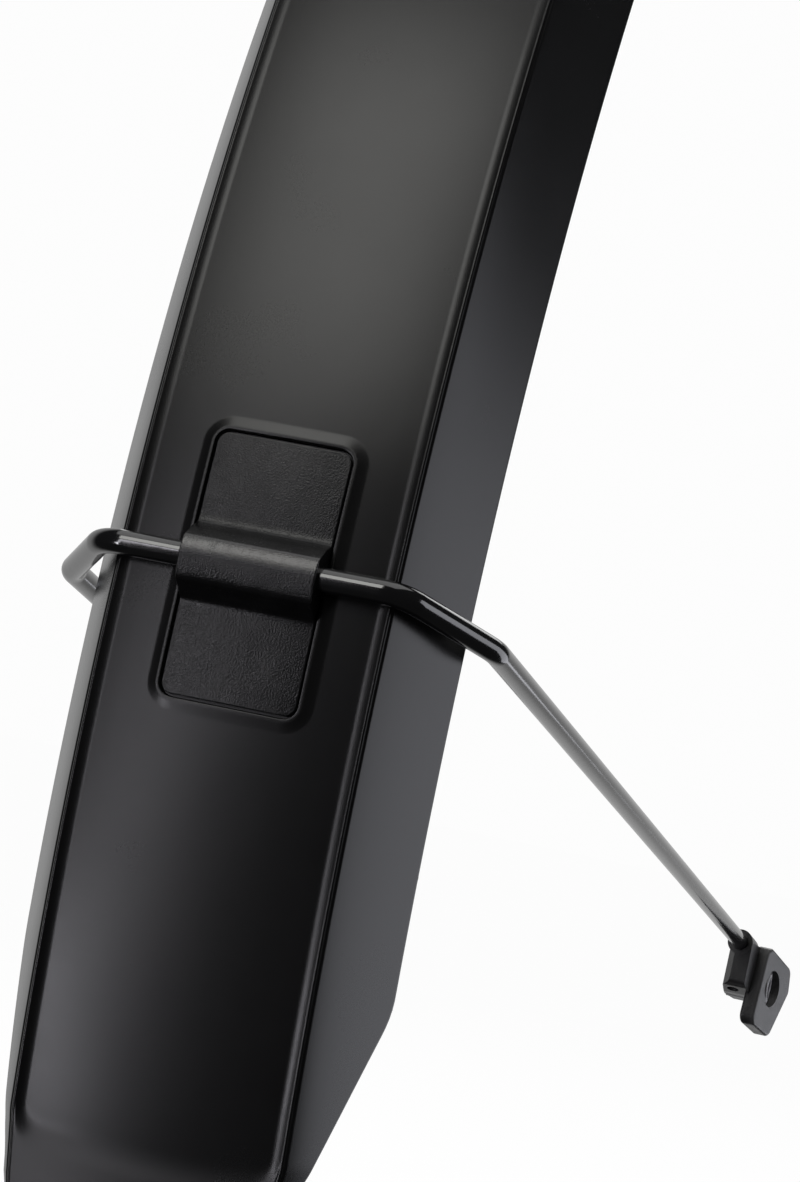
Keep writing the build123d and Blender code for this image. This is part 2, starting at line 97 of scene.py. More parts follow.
def make_piece(name, verts, faces, sharp=38.0):
    me = bpy.data.meshes.new(name)
    me.from_pydata([tuple(p) for p in np.asarray(verts) * MM], [], faces)
    bm = bmesh.new()
    bm.from_mesh(me)
    loose = [v for v in bm.verts if not v.link_faces]
    bmesh.ops.delete(bm, geom=loose, context="VERTS")
    bmesh.ops.recalc_face_normals(bm, faces=bm.faces)
    bm.to_mesh(me)
    bm.free()
    me.shade_smooth()
    me.set_sharp_from_angle(angle=math.radians(sharp))
    ob = bpy.data.objects.new(name, me)
    bpy.context.scene.collection.objects.link(ob)
    return ob


PLATE_HW, PLATE_HL, PLATE_R = 11.1, 21.1, 1.9     # plate of the clip
PLATE_S, PLATE_U = -0.1, -0.35                      # it sits a little to one side of its pocket
RING_HW, RING_HL = 10.85, 21.1                      # the pocket is 0.5 larger all round
PLATE_TOP, PLATE_BOT, FRAME_H = 0.56, -0.72, 0.22
SADDLE_TOP, SADDLE_FOOT = 6.2, 6.15
# crowned top of the saddle above and below its crest: radius, half width, round of the shoulder
SADDLE_UP, SADDLE_LOW = (6.2, 2.35, 1.3), (8.5, 3.5, 1.7)
WIRE_N, CHANNEL_R = 2.8, 2.05


# ------------------------------------------------------------------ guard blade
def table_profile(points, sigma):
    """Rounded profile: a polyline n(s) softened by a bell about sigma wide."""
    pts = np.array(points)
    grid = np.arange(10.0, 48.0, 0.01)
    n = np.interp(grid, pts[:, 0], pts[:, 1])
    k = np.arange(-4 * sigma, 4 * sigma + 1e-9, 0.01)
    w = np.exp(-0.5 * (k / sigma) ** 2)
    pad = len(k) // 2
    n = np.convolve(np.pad(n, pad, mode="edge"), w / w.sum(), mode="valid")
    return grid, n


SLOPE_AT, SLOPE_W, END_W, PANEL_CORNER = 20.25, 1.70, 4.4, 2.4
RIM_H = 0.36                                   # the rims stand only a little over the panel
WALL_TOP, WALL_FOOT = (22.86, -0.74), (31.3, -18.7)


def panel(s):
    return 0.30 - 0.75 * (np.abs(s) / 19.6) ** 2


def rise(x, e):
    """Share of the rim's height on its hollow slope (e = 0) or on an end's soft one (e = 1)."""
    x = np.clip(x, 0.0, 1.0)
    return x ** 1.6 * (1.0 - e) + smooth01(x) * e


def wall_curve():
    """The side wall in section, bowed below the shoulder and nearly straight further down."""
    t = np.arange(0.0, 34.0, 0.02)
    lo, hi = 64.0, 74.0
    for _ in range(30):
        end = (lo + hi) / 2
        ang = (end - (end - 58.5) * np.exp(-t / 6.0)) * DEG
        s = WALL_TOP[0] + np.concatenate(([0.0], np.cumsum(np.cos(ang[:-1]) * 0.02)))
        n = WALL_TOP[1] - np.concatenate(([0.0], np.cumsum(np.sin(ang[:-1]) * 0.02)))
        if np.interp(-WALL_FOOT[1], -n, s) > WALL_FOOT[0]:
            lo = end
        else:
            hi = end
    return s, n


WALL_S, WALL_N = wall_curve()
slope_s = np.linspace(SLOPE_AT, SLOPE_AT + SLOPE_W, 30)
RIM = table_profile([(10.0, float(panel(10.0)))] + [(s, float(panel(s))) for s in np.linspace(11.0, 20.2, 60)]
                    + [(s, float(panel(s) + RIM_H * rise((s - SLOPE_AT) / SLOPE_W, 0.0))) for s in slope_s]
                    + [(22.15, -0.25), (22.36, -0.30), (22.50, -0.60), (22.74, -0.68)]
                    + list(zip(WALL_S[::10], WALL_N[::10])), 0.055)


def outer(s, u):
    """Height of the outer face."""
    a = np.abs(s)
    bow = LIP_BOW * np.clip(1.0 - (a / 21.0) ** 2, 0.0, 1.0)
    dx = a - SLOPE_AT
    dy = np.maximum(U_END - bow - u, u - U_TOP)
    qx, qy = dx + PANEL_CORNER, dy + PANEL_CORNER
    d = np.hypot(np.maximum(qx, 0), np.maximum(qy, 0)) + np.minimum(np.maximum(qx, qy), 0) - PANEL_CORNER
    e = smooth01((qy - qx + 3.0) / 6.0)
    n = panel(a) + RIM_H * rise(d / (SLOPE_W + (END_W - SLOPE_W) * e), e)
    k = smooth01((a - 21.88) / 0.12)
    return n * (1.0 - k) + np.interp(a, *RIM) * k


def foot_level(u):
    """Level of the side walls' lower edge, drawn up at both ends."""
    u0 = (-5.35 - CLIP) * DEG * R
    low = -18.75 + (u0 - u) * (14.05 / (u0 - U_TAPER))
    f0 = (104.4 - CLIP) * DEG * R
    top = -18.75 + (u - f0) * (15.15 / (6.2 * DEG * R))
    n = smax(smax(np.full_like(u, -18.7), low, 1.6), top, 1.6)
    return smin(n, np.full_like(u, -3.2), 1.0)


# half-section stations, from the middle outwards
COLS_IN = np.linspace(0.0, 17.0, 13)
COLS_EDGE = np.concatenate(([17.8, 18.6, 19.2, 19.7, 20.0], np.arange(20.2, 21.8, 0.16),
                            np.arange(21.82, 23.0, 0.09), [23.1, 23.3, 23.5]))
COLS_WALL = np.array((0.05, 0.12, 0.20, 0.32, 0.46, 0.60, 0.74, 0.87, 0.955, 0.985, 1.0))
HALF = len(COLS_IN) + len(COLS_EDGE) + len(COLS_WALL)
SKIN_HALF, FOOT_R = 0.9, 0.40
# the wall's lower edge: flat with small round corners, in half thicknesses
FOOT = np.array(((0.94, 0.222), (0.778, 0.385), (0.556, 0.444), (-0.556, 0.444), (-0.778, 0.385), (-0.94, 0.222)))


def half_section(u):
    """Outer and inner points of the half section at a station, and the round of its foot."""
    nf = float(foot_level(np.array([u]))[0]) + FOOT_R * abs(WALL_D[1])
    sf = float(np.interp(-nf, -WALL_N, WALL_S))
    s = np.concatenate((COLS_IN, COLS_EDGE, COLS_EDGE[-1] + COLS_WALL * (sf - COLS_EDGE[-1])))
    n = outer(s, u)
    si, ni = s.copy(), -1.70 - 0.75 * (s / 22.2) ** 2
    k0 = len(COLS_IN) + 1
    k1 = len(COLS_IN) + len(COLS_EDGE) + 3
    wall = np.stack((s, n), axis=1) + WALL_IN * 1.8
    si[k1:], ni[k1:] = wall[k1:, 0], wall[k1:, 1]
    way = [(si[k0], ni[k0])] + ([(22.05, -2.5)] if ni[k1] < -2.9 else []) + [(si[k1], ni[k1])]
    bend = along(np.array(way), np.linspace(0.0, 1.0, k1 - k0 + 1))
    si[k0:k1 + 1], ni[k0:k1 + 1] = bend[:, 0], bend[:, 1]
    for _ in range(12):                      # the inner corner is moulded round
        for v in (si, ni):
            v[k0 + 1:k1] = 0.25 * v[k0:k1 - 1] + 0.5 * v[k0 + 1:k1] + 0.25 * v[k0 + 2:k1 + 1]
    o = np.stack((s, n), axis=1)
    i = np.stack((si, ni), axis=1)
    mid, half = (o[-1] + i[-1]) / 2, (o[-1] - i[-1]) / 2
    hl = np.hypot(*half)
    foot = mid + FOOT[:, :1] * half + FOOT[:, 1:] * WALL_D * hl
    return o, i, foot, mid


def corner_outline(tip, side, radius):
    """Plan outline of an end: half end curve from the middle to the corner's middle, and
    the side from there up. tip = (half width, level at the side, level in the middle)."""
    w, v_side, v_mid = tip
    s = np.linspace(0.0, w, 120)
    arc = np.stack((s, v_mid + (v_side - v_mid) * (s / w) ** 2), axis=1)
    t1 = arc[-1] - arc[-8]
    t1 = t1 / np.hypot(*t1)
    n1 = np.array((t1[1], -t1[0]))
    n1 = n1 if n1[1] * np.sign(v_mid) < 0 or v_mid == 0 else -n1
    p2 = np.array(side)
    t2 = p2 - arc[-1]
    t2 = t2 / np.hypot(*t2)
    n2 = np.array((t2[1], -t2[0]))
    n2 = n2 if n2[0] < 0 else -n2
    if n1 @ t2 < 0:
        n1 = -n1
    m = np.array((t1, -t2)).T
    k = np.linalg.solve(m, (arc[-1] + n2 * radius) - (arc[-1] + n1 * radius))
    c = arc[-1] + n1 * radius + t1 * k[0]
    a1 = math.atan2(*(-n1)[::-1])
    a2 = math.atan2(*(-n2)[::-1])
    d = (a2 - a1 + math.pi) % (2 * math.pi) - math.pi
    turn = a1 + np.linspace(0.0, 1.0, 60) * d
    fil = c + radius * np.stack((np.cos(turn), np.sin(turn)), axis=1)
    keep = arc[(arc - fil[0]) @ t1 < 0]
    end = np.concatenate((keep, fil[:30]))
    up = np.concatenate((fil[29:], np.array([fil[-1] + t2 * x for x in np.linspace(0.2, 1.0, 20)
                                             * max(0.0, (p2 - fil[-1]) @ t2)])))
    return end, up


def along(poly, q):
    """Points at the fractions q of a polyline's length."""
    seg = np.hypot(*(poly[1:] - poly[:-1]).T)
    t = np.concatenate(([0.0], np.cumsum(seg)))
    t /= t[-1]
    return np.stack((np.interp(q, t, poly[:, 0]), np.interp(q, t, poly[:, 1])), axis=-1)


U_LIP = U_LOW - BEND_L                          # lip plan is measured from here, downwards
# share of its width that the lip loses on its way down
LIP_SIDE = np.array(((-4.5, 0.0), (-3.4, 0.004), (-2.5, 0.011), (-1.0, 0.021), (0.5, 0.033), (2.0, 0.044),
                     (6.2, 0.074), (12.5, 0.120)))
FRONT_SIDE = np.array(((-30.0, 50.0), (-14.0, 34.0), (-8.0, 24.0), (-1.2, 21.0)))


def plan_width(u, edge):
    """Half width of the plan outline where an end draws in."""
    wl = edge * (1.0 - np.interp(U_LIP - u, LIP_SIDE[:, 0], LIP_SIDE[:, 1]))
    wf = np.interp(u - U_FRONT, FRONT_SIDE[:, 0], FRONT_SIDE[:, 1])
    return float(smin(np.array(wl), np.array(wf), 0.8))


def coons(sig, tau, w0, v0, end, up):
    """Plan points of an end's rounded tip: sig across, tau from the straight row to the tip."""
    e = along(end, np.abs(sig))
    e[:, 0] *= np.sign(sig)
    e1 = end[-1]
    sp = along(up[::-1], np.array([tau]))[0]
    lo = np.stack((sig * w0, np.full_like(sig, v0)), axis=1)
    a, b = (1 + sig)[:, None] / 2, (1 - sig)[:, None] / 2
    mir = np.array((-1.0, 1.0))
    p1 = np.array((w0, v0))
    return ((1 - tau) * lo + tau * e + a * sp + b * sp * mir
            - (1 - tau) * (a * p1 + b * p1 * mir) - tau * (a * e1 + b * e1 * mir))


def blade_rows():
    fine = np.concatenate((np.arange(0.0, 4.3, 0.6), np.linspace(5.0, 28.0, 22)))
    mid = np.concatenate((-fine[:0:-1], fine))
    up = np.concatenate((np.linspace(28.0, 640.0, 124)[1:], np.arange(641.5, U_FRONT - 8.0, 1.1)))
    low = np.concatenate((np.linspace(-28.0, -56.0, 9)[1:], np.arange(-57.5, -82.0, -1.5),
                          np.arange(-82.6, -100.2, -0.62)))
    return np.concatenate((low[::-1], mid, up))


def build_blade():
    verts, rows_idx = [], []
    us = blade_rows()

    def last_row(u, u_ref):
        """Half width and level of the last straight row before a rounded end."""
        return plan_width(u, half_section(u)[2][:, 0].max()), u_ref - u

    lip_end, lip_up = corner_outline((20.6, 11.7, 12.7), last_row(us[0], U_LIP), 6.0)
    fr_end, fr_up = corner_outline((21.0, 2.0, 0.8), last_row(us[-1], U_FRONT), 5.0)

    def loop(o, i, foot, plan, grow=1.0):
        """One closed loop of the section; plan maps (s, side) to plan points."""
        mid, half = (o + i) / 2, (o - i) / 2
        fm = (o[-1] + i[-1]) / 2
        oo, ii = mid + half * grow, mid - half * grow
        ff = fm + (foot - fm) * grow
        pts = []
        pts += [(-p[0], p[1]) for p in oo[:0:-1]] + [tuple(p) for p in oo]
        pts += [tuple(p) for p in ff]
        pts += [tuple(p) for p in ii[::-1]] + [(-p[0], p[1]) for p in ii[1:]]
        pts += [(-p[0], p[1]) for p in ff[::-1]]
        pts = np.array(pts)
        s, u = plan(pts[:, 0])
        start = len(verts)
        verts.extend(place(s, u, pts[:, 1]))
        rows_idx.append(np.arange(start, start + len(pts)))

    def tip_rows(u_ref, sign, end, up, v_row, u_row, taus):
        """Rows of a rounded end, from the last straight row to the tip."""
        o, i, foot, _ = half_section(u_row)
        edge = foot[:, 0].max()
        w0 = plan_width(u_row, edge)
        out = []
        for t in taus:
            def plan(s, t=t):
                p = coons(s / edge, t, w0, v_row, end, up)
                return p[:, 0], u_ref + sign * p[:, 1]
            out.append((o, i, foot, plan, 1.0))
        for th in (25.0, 50.0, 72.0):
            def plan(s, th=th):
                p = coons(s / edge, 1.0, w0, v_row, end, up)
                q = coons(s / edge, 0.96, w0, v_row, end, up)
                d = p - q
                d /= np.maximum(np.hypot(d[:, 0], d[:, 1]), 1e-9)[:, None]
                p = p + d * math.sin(th * DEG) * 0.8
                return p[:, 0], u_ref + sign * p[:, 1]
            out.append((o, i, foot, plan, math.cos(th * DEG)))
        return out

    taus = np.concatenate((np.linspace(0.0, 0.85, 9)[1:], (0.93, 1.0)))
    v_row = U_LIP - us[0]
    for r in tip_rows(U_LIP, -1.0, lip_end, lip_up, v_row, us[0], taus)[::-1]:
        loop(*r)
    for u in us:
        o, i, foot, _ = half_section(u)
        edge = foot[:, 0].max()
        k = plan_width(u, edge) / edge
        loop(o, i, foot, lambda s, k=k, u=u: (s * k, np.full_like(s, u)))
    fr_v = U_FRONT - us[-1]
    for r in tip_rows(U_FRONT, -1.0, fr_end, fr_up, fr_v, us[-1], taus):
        loop(*r)

    n = len(rows_idx[0])
    m, nf = 2 * HALF - 1, len(FOOT)
    first = len(taus) + 3
    faces = []
    s_cols = np.concatenate((-np.concatenate((COLS_IN, COLS_EDGE))[:0:-1], COLS_IN, COLS_EDGE))
    c_off = len(COLS_WALL)
    in_col = np.zeros(n, bool)
    for j, s in enumerate(s_cols):
        in_col[j + c_off] = abs(s) < 17.0 + 1e-6
    for r in range(len(rows_idx) - 1):
        a, b = rows_idx[r], rows_idx[r + 1]
        row_in = first <= r < first + len(us) - 1 and us[r - first] > -28.01 and us[r - first + 1] < 28.01
        for j in range(n):
            q = (j + 1) % n
            if row_in and in_col[j] and in_col[q] and q > j:
                continue
            faces.append((a[j], a[q], b[q], b[j]))
    for a in (rows_idx[0], rows_idx[-1]):
        for j in range(m - 1):
            faces.append((a[j], a[j + 1], a[2 * m + nf - 2 - j], a[2 * m + nf - 1 - j]))
        faces.append(tuple(a[m - 1:m + nf + 1]))
        faces.append(tuple(a[[0] + list(range(n - 1, n - nf - 2, -1))]))

    # raised frame and pocket of the clip: rings round the plate
    ri = [first + k for k, u in enumerate(us) if abs(u) < 28.01]
    cj = [j for j in range(n) if in_col[j]]
    ring = ([(ri[0], j) for j in cj] + [(r, cj[-1]) for r in ri[1:]]
            + [(ri[-1], j) for j in cj[-2::-1]] + [(r, cj[0]) for r in ri[-2:0:-1]])
    flat = [(s_cols[j - c_off], us[r - first]) for r, j in ring]
    core_s, core_u, rad = RING_HW - PLATE_R, RING_HL - PLATE_R, PLATE_R
    base = []
    for s, u in flat:
        on_end = abs(abs(u) - 28.0) < 1e-6
        if on_end and abs(s) <= core_s:
            base.append((s, math.copysign(core_u, u), 0.0, math.copysign(1.0, u)))
        elif not on_end and abs(u) <= core_u:
            base.append((math.copysign(core_s, s), u, math.copysign(1.0, s), 0.0))
        else:
            t = ((abs(s) - core_s) if on_end else (17.0 - core_s + 28.0 - abs(u)))
            ang = (1.0 - t / (17.0 - core_s + 28.0 - core_u)) * math.pi / 2
            base.append((math.copysign(core_s, s), math.copysign(core_u, u),
                         math.copysign(math.cos(ang), s), math.copysign(math.sin(ang), u)))
    base = np.array(base)
    base[:, 1] += PLATE_U
    # distance from the plate's edge, and height over the panel or (below the crest) level
    floor = PLATE_BOT - 0.03
    steps = [(e, FRAME_H * min(1.0, max(0.0, (2.72 - e) / 1.5)) ** 1.2, None)
             for e in (3.9, 3.3, 2.95, 2.75, 2.6, 2.45, 2.3, 2.15, 2.0, 1.85, 1.7, 1.55, 1.42, 1.32, 1.22)]
    steps += [(1.14, FRAME_H + 0.012, None), (0.95, FRAME_H + 0.015, None), (0.78, FRAME_H + 0.010, None)]
    rr = 0.14
    for th in (0.0, 25.0, 50.0, 70.0, 90.0):
        steps.append((0.5 + rr - rr * math.sin(th * DEG), FRAME_H - rr + rr * math.cos(th * DEG), None))
    steps += [(0.49, None, -0.3), (0.48, None, floor + 0.15), (0.35, None, floor), (-0.7, None, floor),
              (-2.6, None, floor)]
    prev = [rows_idx[r][j] for r, j in ring]
    for d, over, level in steps:
        p = base[:, :2] + base[:, 2:] * (rad + d)
        p[:, 0] -= 0.3 * min(1.0, max(0.0, (d - 0.9) / 1.8))      # the slope is wider on one side
        h = np.full(len(p), level) if over is None else panel(p[:, 0]) + over
        start = len(verts)
        verts.extend(place(p[:, 0], p[:, 1], h))
        cur = list(range(start, start + len(p)))
        for j in range(len(p)):
            q = (j + 1) % len(p)
            faces.append((prev[j], prev[q], cur[q], cur[j]))
        prev = cur
    verts.append(place(0.0, PLATE_U, floor))
    for j in range(len(prev)):
        faces.append((prev[j], prev[(j + 1) % len(prev)], len(verts) - 1))
    return make_piece("guard_blade_skin", verts, faces)


# ------------------------------------------------------------------ stay clip
def saddle_half(radius, half_width, corner):
    """One half of the clip in profile, from the saddle's crest to the plate's end: the top
    (along, over the guard) and the underside paired with it."""
    top, bot = [], []
    q = np.array((SADDLE_FOOT, PLATE_TOP))
    a1 = math.asin(half_width / radius)
    c0 = np.array((0.0, SADDLE_TOP - radius))
    c1 = c0 + (radius - corner) * np.array((math.sin(a1), math.cos(a1)))
    gap = q - c1
    lean = math.acos(corner / np.hypot(*gap)) + math.atan2(gap[1], gap[0])
    a2 = math.pi / 2 - lean                                   # flank's tilt off the top
    for k in range(90):                                       # crowned top and its round shoulder
        t = k / 89.0
        if k < 50:
            a = a1 * k / 49.0
            top.append(tuple(c0 + radius * np.array((math.sin(a), math.cos(a)))))
        else:
            a = a1 + (a2 - a1) * (k - 49) / 40.0
            top.append(tuple(c1 + corner * np.array((math.sin(a), math.cos(a)))))
        if t < 0.75:
            b = 90.0 * (1 - t / 0.75)
            bot.append((CHANNEL_R * math.cos(b * DEG), WIRE_N + CHANNEL_R * math.sin(b * DEG)))
        else:
            bot.append((CHANNEL_R, WIRE_N + (PLATE_BOT - WIRE_N) * (t - 0.75) / 0.25))
    p = np.array(top[-1])
    for t in np.linspace(0.0, 1.0, 50)[1:]:                   # straight flank down to the plate
        top.append(tuple(p + (q - p) * t))
        bot.append((CHANNEL_R + (SADDLE_FOOT - CHANNEL_R) * t, PLATE_BOT))
    for u in np.linspace(SADDLE_FOOT, PLATE_HL, 150)[1:]:
        top.append((u, PLATE_TOP))
        bot.append((u, PLATE_BOT))
    return np.array(top), np.array(bot)


def build_clip():
    top, bot = saddle_half(*SADDLE_UP)
    low, _ = saddle_half(*SADDLE_LOW)
    # soften the moulded creases
    full = np.concatenate((low[:0:-1] * (-1, 1), top))
    k = np.exp(-0.5 * (np.arange(-12, 13) / 3.6) ** 2)
    k /= k.sum()
    pad = np.pad(full, ((12, 12), (0, 0)), mode="reflect", reflect_type="odd")
    soft = np.stack([np.convolve(pad[:, j], k, mode="valid") for j in (0, 1)], axis=1)
    soft[0], soft[-1] = full[0], full[-1]
    fbot = np.concatenate((bot[:0:-1] * (-1, 1), bot))
    seg = np.gradient(soft, axis=0)
    seg /= np.hypot(seg[:, 0], seg[:, 1])[:, None]
    nrm = np.stack((-seg[:, 1], seg[:, 0]), axis=1)
    # rows along the plate: dense over the saddle and at the rounded ends
    want_end = PLATE_HL - np.array((0.0, 0.02, 0.06, 0.11, 0.17, 0.24, 0.31, 0.38, 0.5, 0.7, 1.0, 1.4, 1.9, 2.6, 3.5))
    want_mid = np.concatenate((np.arange(7.0, 17.4, 0.75),))
    half_rows = set()
    mid0 = len(top) - 1
    for j in range(0, 140, 3):
        half_rows.add(j)
    for w in np.concatenate((want_mid, want_end)):
        half_rows.add(int(np.argmin(np.abs(top[:, 0] - w) + (np.arange(len(top)) < 139) * 50)))
    half_rows.add(len(top) - 1)
    pick = sorted({mid0 + j for j in half_rows} | {mid0 - j for j in half_rows})
    edge_d = np.array((0.0, 0.02, 0.06, 0.11, 0.17, 0.24, 0.31, 0.38, 0.52, 0.75, 1.2, 2.0, 3.2, 4.6, 6.2, 8.0, 9.6))
    half_c = np.concatenate((1.0 - edge_d / PLATE_HW, [0.0]))
    cols = np.concatenate((-half_c, half_c[-2::-1]))
    m = len(cols)
    fr = 0.20
    verts, rows = [], []
    # exact end distances for the last rows
    exact = {}
    for w in want_end:
        exact[int(np.argmin(np.abs(top[:, 0] - w) + (np.arange(len(top)) < 139) * 50))] = w
    for j in pick:
        uu, nn = soft[j]
        h = abs(j - mid0)
        if h in exact:
            uu = math.copysign(exact[h], uu)
        ub, nb = fbot[j]
        if h in exact:
            ub = uu
        over = max(0.0, abs(uu) - (PLATE_HL - PLATE_R))
        w = PLATE_HW - PLATE_R + math.sqrt(max(PLATE_R ** 2 - over ** 2, 0.0))
        s = cols * w
        qx = np.abs(s) - (PLATE_HW - PLATE_R)
        qy = np.full(m, abs(uu) - (PLATE_HL - PLATE_R))
        d = -(np.hypot(np.maximum(qx, 0), np.maximum(qy, 0)) + np.minimum(np.maximum(qx, qy), 0) - PLATE_R)
        d = np.clip(d, 0.0, fr)
        drop = fr - np.sqrt(np.maximum(fr * fr - (fr - d) ** 2, 0.0))
        flat = float(np.clip((WIRE_N - nn) / (WIRE_N - PLATE_TOP), 0.0, 1.0))
        crown = (panel(s) - panel(0.0)) * flat               # the plate is crowned with the guard
        t = place(s + PLATE_S, uu + PLATE_U * flat - nrm[j, 0] * drop, nn + crown - nrm[j, 1] * drop)
        b = place(s + PLATE_S, ub + PLATE_U * flat, nb)
        skirt = np.array([t[[0, -1]] * (1 - f) + b[[0, -1]] * f for f in (0.5,)])
        start = len(verts)
        verts.extend(t)
        verts.extend(skirt[:, 1])
        verts.extend(b[::-1])
        verts.extend(skirt[::-1, 0])
        rows.append(np.arange(start, len(verts)))
    faces = []
    n = len(rows[0])
    for a, b in zip(rows[:-1], rows[1:]):
        for j in range(n):
            q = (j + 1) % n
            faces.append((a[j], a[q], b[q], b[j]))
    for a in (rows[0], rows[-1]):
        for j in range(m - 1):
            faces.append((a[j], a[j + 1], a[2 * m - 1 - j], a[2 * m - j]))
        faces.append((a[m - 1], a[m], a[m + 1]))
        faces.append((a[0], a[n - 1], a[n - 2]))
    # studs through the guard, with a turned-down end
    for u in (-2.2 * DEG * R, 2.2 * DEG * R):
        prof = [(0.0, 0.1), (2.5, 0.1), (2.5, -3.9), (2.3, -4.2), (1.9, -4.4), (0.0, -4.4)]
        ring_prev = None
        c0 = len(verts)
        verts.append(place(0.0, u, prof[0][1]))
        for r_, n_ in prof[1:-1]:
            ang = np.linspace(0, 2 * math.pi, 33)[:-1]
            start = len(verts)
            c = place(0.0, u, n_)
            ex, ey = np.array((0.0, 1.0, 0.0)), place(0.0, u + 0.5, 0.0) - place(0.0, u - 0.5, 0.0)
            verts.extend([c + r_ * (ex * math.cos(x) + ey * math.sin(x)) for x in ang])
            cur = list(range(start, start + 32))
            for j in range(32):
                q = (j + 1) % 32
                if ring_prev is None:
                    faces.append((c0, cur[q], cur[j]))
                else:
                    faces.append((ring_prev[j], ring_prev[q], cur[q], cur[j]))
            ring_prev = cur
        verts.append(place(0.0, u, prof[-1][1]))
        for j in range(32):
            faces.append((ring_prev[j], ring_prev[(j + 1) % 32], len(verts) - 1))
    return make_piece("stay_clip_body", verts, faces)


# ------------------------------------------------------------------ u stay
WIRE_R = 2.0


def build_stay():
    b1 = {s: clip_point(-367.8, s * 24.53, 0.0) for s in (1, -1)}
    b2 = {s: clip_point(-346.4, s * 35.94, -3.1) for s in (1, -1)}
    en = {s: clip_point(-18.65, s * 45.66, -23.2) for s in (1, -1)}
    tip = {s: en[s] + 13.0 * (en[s] - b2[s]) / np.linalg.norm(en[s] - b2[s]) for s in (1, -1)}
    corners = [(tip[-1], 0.0), (b2[-1], 9.0), (b1[-1], 6.0), (b1[1], 6.0), (b2[1], 9.0), (tip[1], 0.0)]
    path = [corners[0][0]]
    for (p, _), (c, r), (q, _) in zip(corners, corners[1:], corners[2:]):
        i, o = (c - p) / np.linalg.norm(c - p), (q - c) / np.linalg.norm(q - c)
        ang = math.acos(np.clip(i @ o, -1, 1))
        t = r * math.tan(ang / 2)
        start, centre_dir = c - i * t, (o - i) / np.linalg.norm(o - i)
        centre = c + centre_dir * r / math.cos(ang / 2)
        e1 = (start - centre) / r
        last = path[-1]
        for k in np.linspace(0, 1, 14)[1:-1]:
            path.append(last + (start - last) * k)
        for k in np.linspace(0, 1, 40):
            a = ang * k
            path.append(centre + r * (e1 * math.cos(a) + i * math.sin(a)))
    last, end = path[-1], corners[-1][0]
    for k in np.linspace(0, 1, 14)[1:]:
        path.append(last + (end - last) * k)
    path = np.array(path)
    tan = np.gradient(path, axis=0)
    tan /= np.linalg.norm(tan, axis=1)[:, None]
    side = np.cross(tan[0], (0.0, 0.0, 1.0))
    side /= np.linalg.norm(side)
    verts, faces, prev = [], [], None
    ang = np.linspace(0, 2 * math.pi, 73)[:-1]
    caps = [(0, 0.0, 1.7), (0, 0.12, 1.9)] + [(k, 0.3 if k == 0 else (-0.3 if k == len(path) - 1 else 0.0), 2.0)
                                            for k in range(len(path))]
    caps += [(len(path) - 1, -0.12, 1.9), (len(path) - 1, 0.0, 1.7)]
    for k, shift, r in caps:
        side = side - tan[k] * (side @ tan[k])
        side /= np.linalg.norm(side)
        up = np.cross(side, tan[k])
        c = path[k] + tan[k] * shift
        start = len(verts)
        verts.extend([c + r * (side * math.cos(a) + up * math.sin(a)) for a in ang])
        cur = list(range(start, start + len(ang)))
        if prev is None:
            faces.append(tuple(cur))
        else:
            for j in range(len(ang)):
                q = (j + 1) % len(ang)
                faces.append((prev[j], prev[q], cur[q], cur[j]))
        prev = cur
    faces.append(tuple(prev))
    return make_piece("u_stay_wire", verts, faces, 50.0)


